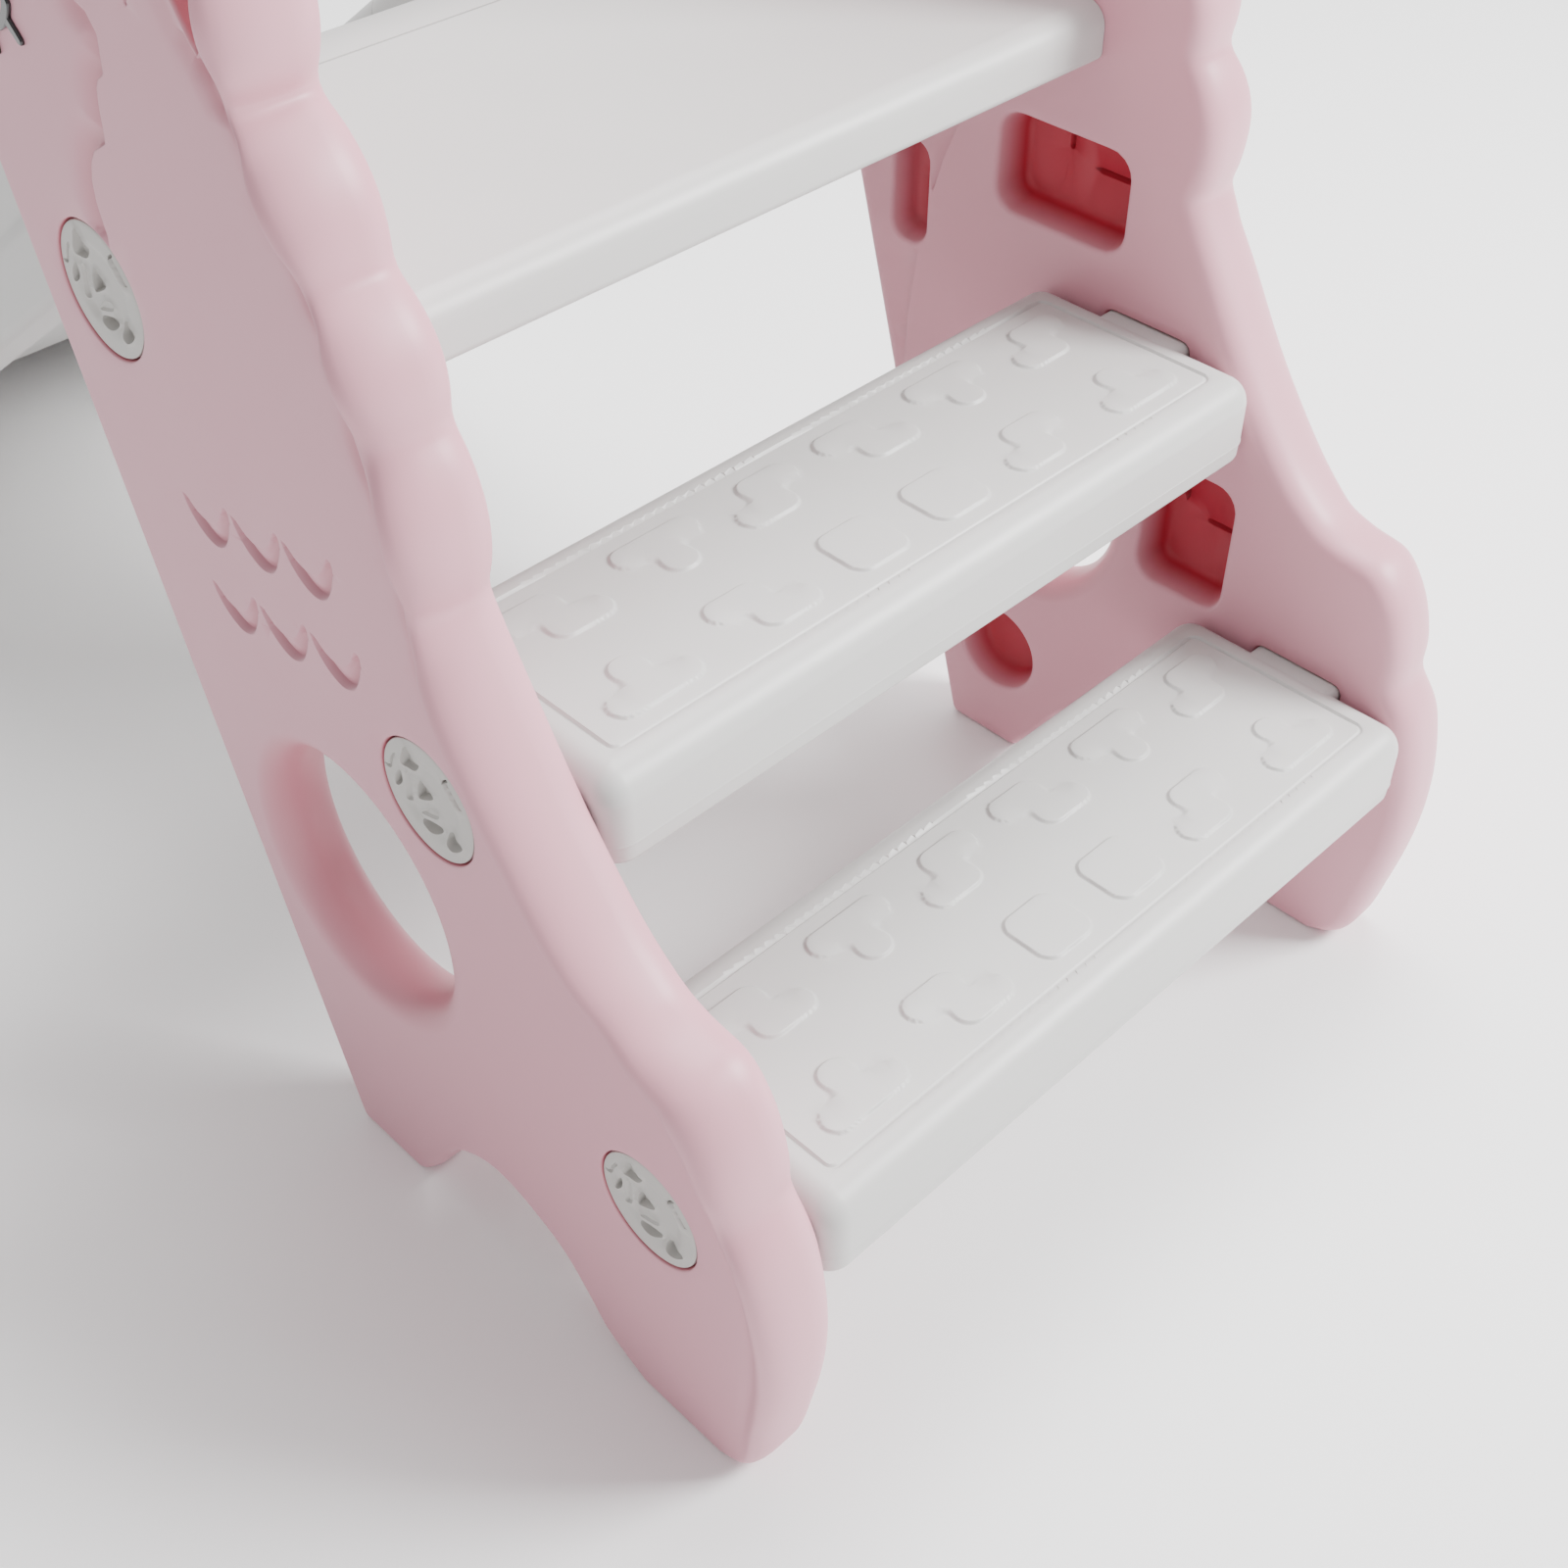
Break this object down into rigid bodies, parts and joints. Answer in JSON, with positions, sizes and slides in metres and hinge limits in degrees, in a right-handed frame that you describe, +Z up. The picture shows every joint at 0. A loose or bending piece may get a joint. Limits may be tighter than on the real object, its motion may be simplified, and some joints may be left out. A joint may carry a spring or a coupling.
{
  "type": "toddler slide",
  "caption": "Indoor toddler slide: moulded steps and a deck between two lamb-shaped side panels held by quarter-turn locks, with a two-section chute.",
  "frame": {"origin": "on the floor, under the middle of the slide's overall length and width", "axes": "+X across the slide, to the right of a child who faces the chute; +Y along the slide from the steps to the chute's exit; +Z up from the floor"},
  "size_m": [0.5072, 1.2096, 0.7863],
  "materials": {
    "panel_plastic": "blow-moulded polyethylene, satin, dusty pink",
    "tread_plastic": "blow-moulded polyethylene, fine satin, light grey",
    "chute_plastic": "blow-moulded polyethylene, satin, light grey",
    "lock_plastic": "injection-moulded polypropylene, satin, warm light grey",
    "fastener_plastic": "injection-moulded polypropylene, satin",
    "eye_gloss": "black gloss moulded lash strokes"
  },
  "bodies": {
    "root": {"left_side_panel": "panel_plastic", "right_side_panel": "panel_plastic", "lower_step": "tread_plastic", "upper_step": "tread_plastic", "deck": "tread_plastic", "upper_chute": "chute_plastic", "lower_chute": "chute_plastic", "left_seam_pin": "fastener_plastic", "right_seam_pin": "fastener_plastic", "left_chute_screw": "fastener_plastic", "right_chute_screw": "fastener_plastic", "left_eye": "eye_gloss", "right_eye": "eye_gloss"},
    "left_lower_lock": {"left_lower_lock": "lock_plastic"},
    "right_lower_lock": {"right_lower_lock": "lock_plastic"},
    "left_upper_lock": {"left_upper_lock": "lock_plastic"},
    "right_upper_lock": {"right_upper_lock": "lock_plastic"},
    "left_deck_lock": {"left_deck_lock": "lock_plastic"},
    "right_deck_lock": {"right_deck_lock": "lock_plastic"}
  },
  "joints": [
    {"name": "left_lower_lock_turn", "type": "hinge", "parent": "root", "child": "left_lower_lock", "pos_m": [-0.2444, -0.5275, 0.143], "axis": [-1, 0, 0], "range_deg": [0, 90]},
    {"name": "right_lower_lock_turn", "type": "hinge", "parent": "root", "child": "right_lower_lock", "pos_m": [0.2444, -0.5275, 0.143], "axis": [1, 0, 0], "range_deg": [0, 90]},
    {"name": "left_upper_lock_turn", "type": "hinge", "parent": "root", "child": "left_upper_lock", "pos_m": [-0.2444, -0.407, 0.293], "axis": [-1, 0, 0], "range_deg": [0, 90]},
    {"name": "right_upper_lock_turn", "type": "hinge", "parent": "root", "child": "right_upper_lock", "pos_m": [0.2444, -0.407, 0.293], "axis": [1, 0, 0], "range_deg": [0, 90]},
    {"name": "left_deck_lock_turn", "type": "hinge", "parent": "root", "child": "left_deck_lock", "pos_m": [-0.2444, -0.228, 0.4465], "axis": [-1, 0, 0], "range_deg": [0, 90]},
    {"name": "right_deck_lock_turn", "type": "hinge", "parent": "root", "child": "right_deck_lock", "pos_m": [0.2444, -0.228, 0.4465], "axis": [1, 0, 0], "range_deg": [0, 90]}
  ]
}
